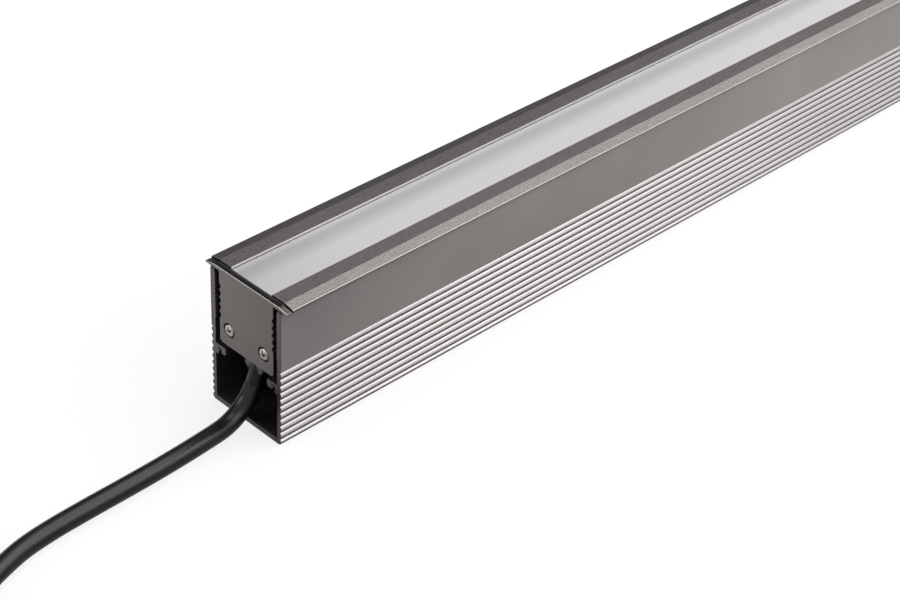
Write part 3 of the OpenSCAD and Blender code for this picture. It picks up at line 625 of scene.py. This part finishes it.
# The end screws: stainless pan heads with a cross recess, sunk in counterbores, two on each
# plate. Painted shade darkens the recess and the low rim of each head.
screw_y = 10.35 * MM
screw_z = 39.15 * MM
seat_x = 0.2485
head_sides = 96
head_profile = [(0, 1.7), (1.2, 1.68), (1.9, 1.6), (2.35, 1.42), (2.65, 1.12), (2.8, 0.75),
                (2.85, 0.35), (2.85, 0)]
fine_rings = [0.08 * MM * i for i in range(1, 25)]
outer_rings = [MM * r for r in (2.05, 2.2, 2.35, 2.5, 2.65, 2.75, 2.8, 2.83, 2.85)]
recess_r = 1.62 * MM
recess_half_w = 0.42 * MM
recess_depth = 0.95 * MM
recess_wall = 0.14 * MM
recess_taper = 0.45
recess_turn = pi / 9
sunk_end, proud_start = 1.0 * MM, 1.35 * MM
shank_r = 1.5 * MM
shank_len = 8 * MM
shank_sides = 24
thread_step = 0.25 * MM
thread_depth = 0.2 * MM


def head_height(r, angle):
    """The height of a head's surface over its seat, with the cross recess cut into it."""
    for (r0, h0), (r1, h1) in zip(head_profile, head_profile[1:]):
        if r <= r1 * MM:
            height = (h0 + (h1 - h0) * (r / MM - r0) / max(r1 - r0, 1e-6)) * MM
            break
    else:
        height = 0
    x, y = abs(r * cos(angle)), abs(r * sin(angle))
    across, outward = min(x, y), max(x, y)
    cut = (smooth((recess_half_w - across) / recess_wall)
           * smooth((recess_r - outward) / (2 * recess_wall)))
    return height - cut * recess_depth * (1 - recess_taper * outward / recess_r)


def add_screw(form, place, outward):
    """Adds a screw whose head's seat is at the place, and whose head points outward along X."""
    def ring_at(r, heights):
        angles = [2 * pi * k / head_sides for k in range(head_sides)]
        return [form.verts.new(place + Vector((outward * h, r * cos(angle), r * sin(angle))))
                for angle, h in zip(angles, heights)]

    turned = [2 * pi * k / head_sides + recess_turn for k in range(head_sides)]
    rings = [ring_at(r, [head_height(r, angle) for angle in turned])
             for r in fine_rings + outer_rings]
    rings.append(ring_at(outer_rings[-1], [0] * head_sides))
    centre = form.verts.new(place + Vector((outward * head_height(0, 0), 0, 0)))
    for k in range(head_sides):
        form.faces.new((centre, rings[0][k - 1], rings[0][k]))
    for low, high in zip(rings, rings[1:]):
        for k in range(head_sides):
            form.faces.new((low[k], low[k - 1], high[k - 1], high[k]))
    form.faces.new(rings[-1])
    count = int(shank_len / thread_step)
    radii = [shank_r - thread_depth * (i % 2) for i in range(count)] + [shank_r / 2]
    line = [place - Vector((outward * thread_step * i, 0, 0)) for i in range(count + 1)]
    add_tube(form, line, radii, shank_sides)


steel = Finish("screw steel")
# Below this height over the seat the head takes painted shade, in its cross recess and round its
# low rim.
proud = steel.spread(abs(steel.along("X")), seat_x + sunk_end, seat_x + proud_start)
polished = steel.between(tone(150, 148, 145), tone(196, 194, 190), steel.noise(0.8 * MM))
screw_steel = steel.surface(
    Base_Color=steel.between(tone(66, 64, 62), polished, proud), Metallic=1,
    Roughness=0.2 + 0.12 * steel.noise(0.5 * MM),
    Normal=steel.relief(steel.noise(0.3 * MM), 0.01 * MM))
for end, side in (("near", -1), ("far", 1)):
    form = bmesh.new()
    for y in -screw_y, screw_y:
        add_screw(form, Vector((side * seat_x, y, screw_z)), side)
    screws = piece("end_screws_" + end, form, 35)
    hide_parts("cap_screws_" + end)
    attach(screws, "luminaire")
    dress(screws, screw_steel)

# The cable outlet: a moulded nylon block snapped into the body's floor, and its round rubber
# spout, which the lead's sheath meets at a seam.
moulded = Finish("moulded outlet")
outlet_plastic = moulded.surface(
    Base_Color=moulded.between(tone(54, 55, 54), tone(68, 69, 68), moulded.noise(4 * MM)),
    Roughness=0.45 + 0.1 * moulded.noise(1 * MM),
    Normal=moulded.relief(moulded.noise(0.25 * MM), 0.02 * MM))
eased(NODES["cable_outlet"], 0.25 * MM)
dress(NODES["cable_outlet"], outlet_plastic)
dress(NODES["outlet_sleeve"], cable_rubber)

# The pieces inside: the light source on its web, the one-sided lens over it, the spring clips
# at the sides, the driver on its board, and the wiring from the terminal block.


def finished(kind, dark, light, size, rough, depth=0.02 * MM, **more):
    """A finish of two near colours in cloudy blots of that size, on a faint relief."""
    look = Finish(kind)
    blots = look.noise(size)
    return look.surface(Base_Color=look.between(dark, light, look.bold(blots)),
                        Roughness=rough + 0.1 * blots,
                        Normal=look.relief(look.noise(size / 4), depth), **more)


inner_finishes = {
    "retaining_clips": finished("spring steel", tone(150, 150, 150), tone(176, 176, 174), 3 * MM,
                                0.25, Metallic=1),
    "board_screws": screw_steel,
    "led_board": finished("white solder mask", tone(226, 226, 222), tone(240, 240, 237), 5 * MM,
                          0.4),
    "led_chips": finished("diode phosphor", tone(232, 206, 92), tone(246, 224, 120), 0.8 * MM, 0.5),
    "lens_strip": finished("clear lens", tone(226, 230, 232), tone(240, 243, 244), 12 * MM, 0.08,
                           0.004 * MM, Transmission_Weight=0.9, IOR=1.49),
    "thermal_pad": finished("thermal pad", tone(112, 114, 120), tone(134, 136, 142), 1 * MM, 0.7),
    "driver_board": finished("green solder mask", tone(18, 72, 44), tone(26, 88, 54), 6 * MM, 0.35),
    "driver_inductors": finished("ferrite", tone(44, 44, 46), tone(60, 60, 62), 1 * MM, 0.6),
    "driver_capacitors": finished("capacitor sleeve", tone(146, 148, 152), tone(180, 182, 186),
                                  2 * MM, 0.3, Metallic=1),
    "driver_chips": finished("moulded epoxy", tone(22, 22, 24), tone(34, 34, 36), 0.8 * MM, 0.55),
    "terminal_block": finished("green nylon", tone(34, 106, 62), tone(46, 124, 74), 3 * MM, 0.4),
    "inner_cores": finished("inner core sheath", tone(52, 74, 128), tone(62, 86, 146), 2 * MM, 0.4),
    "led_leads": finished("lead sheath", tone(150, 34, 30), tone(172, 44, 38), 2 * MM, 0.4),
}
for name, material in inner_finishes.items():
    dress(NODES[name], material)

# The ground: a plain pale floor, white to the camera and in metal and glass, that near the
# object keeps a fifth of its own shading for the shadow. In reflections alone it carries a
# painted shade in front of the near end, so the side wall darkens towards that end.
floor_half = 4
floor_white = tone(245, 245, 245)
kept_shading = 0.2
fade_start, fade_end = 0.7, 2.2
# A patch of painted shade, seen only in reflections, in front of the near end.
reflection_shade_depth = 0.84
shade_patch_back, shade_patch_front = 0.1, -0.05
shade_patch_far, shade_patch_near = 0.3, -0.28


def screen(name, corners):
    """A plain four-cornered sheet of the studio."""
    mesh = bpy.data.meshes.new(name)
    mesh.from_pydata(corners, [], [(0, 1, 2, 3)])
    made = bpy.data.objects.new(name, mesh)
    bpy.context.scene.collection.objects.link(made)
    return made


def rays_of(nodes, kind):
    """1 on the rays of that kind, such as Glossy, and 0 on others."""
    return nodes.node("LightPath", {}, {}, f"Is {kind} Ray")


def seen_rays(nodes):
    """1 on the rays that show the studio itself or its mirror image, and 0 on those that light."""
    return rays_of(nodes, "Camera") + rays_of(nodes, "Glossy") + rays_of(nodes, "Transmission")


floor = screen("floor", [(-floor_half, -floor_half, 0), (floor_half, -floor_half, 0),
                         (floor_half, floor_half, 0), (-floor_half, floor_half, 0)])
ground = Finish("studio floor")
reflection_shade = (reflection_shade_depth * rays_of(ground, "Glossy")
           * ground.spread(ground.along("Y"), shade_patch_back, shade_patch_front)
           * ground.spread(ground.along("X"), shade_patch_far, shade_patch_near))
ground.surface(Base_Color=ground.between(floor_white, tone(0, 0, 0), reflection_shade), Roughness=0.9)
distance = ground.node("VectorMath", {"operation": "LENGTH"}, {0: ground.place}, "Value")
away = ground.spread(distance, fade_start, fade_end)
white_share = ((1 - kept_shading + kept_shading * away) * seen_rays(ground)
               - (1 - kept_shading) * reflection_shade)
white_floor = ground.node("Emission", {}, {"Color": (1, 1, 1, 1), "Strength": 1})
shaded_floor = Shade(ground, ground.shader.outputs[0])
mixed = ground.node("MixShader", {}, {0: white_share, 1: shaded_floor, 2: white_floor})
ground.feed(ground.tree.nodes["Material Output"], {"Surface": mixed})
dress(floor, ground.material)

# The studio lamps: a large softbox in front of the object, a long one overhead, past the far
# end, and a small light behind the near end for the edges.


def lamp(name, place, target, width, height, radiance):
    """A soft rectangular lamp whose face is as bright as the radiance says."""
    light = bpy.data.lights.new(name, "AREA")
    light.shape = "RECTANGLE"
    light.size, light.size_y = width, height
    light.energy = radiance * pi * width * height
    made = bpy.data.objects.new(name, light)
    aim = (Vector(target) - Vector(place)).to_track_quat("-Z", "Y")
    made.matrix_world = Matrix.Translation(place) @ aim.to_matrix().to_4x4()
    bpy.context.scene.collection.objects.link(made)


lamp("front softbox", place=(0.46, -0.92, 1.05), target=(-0.12, 0, 0.05),
     width=2, height=1.15, radiance=2.9)
lamp("overhead softbox", place=(1.1, 0.05, 1.5), target=(1.1, 0.05, 0),
     width=2.8, height=0.8, radiance=2.8)
lamp("edge light", place=(-1.1, 0.75, 0.75), target=(-0.25, 0, 0.05),
     width=0.6, height=0.4, radiance=5)

# The dark card: a black sheet that stands behind the object. Only metal and glass see it, and
# it keeps the flange's flat top dark.
card_left, card_right = -1.5, 3
card_y = 1.2
card_low, card_high = 0.01, 1.35
card = screen("dark_card", [(card_left, card_y, card_low), (card_right, card_y, card_low),
                            (card_right, card_y, card_high), (card_left, card_y, card_high)])
card.visible_camera = card.visible_diffuse = card.visible_shadow = False
black = Finish("dark card")
dress(card, black.surface(Base_Color=(0.12, 0.12, 0.12, 1), Roughness=0.9))

# The world: white behind all that the camera, metal or glass sees, and a low even light on the
# object from all round.
world_light = 0.35
world = bpy.data.worlds.new("studio")
bpy.context.scene.world = world
world.use_nodes = True
sky = Nodes(world.node_tree)
sky.feed(sky.tree.nodes["Background"], {
    "Color": (1, 1, 1, 1), "Strength": world_light + (1 - world_light) * seen_rays(sky)})
bpy.context.scene.view_settings.view_transform = "Standard"
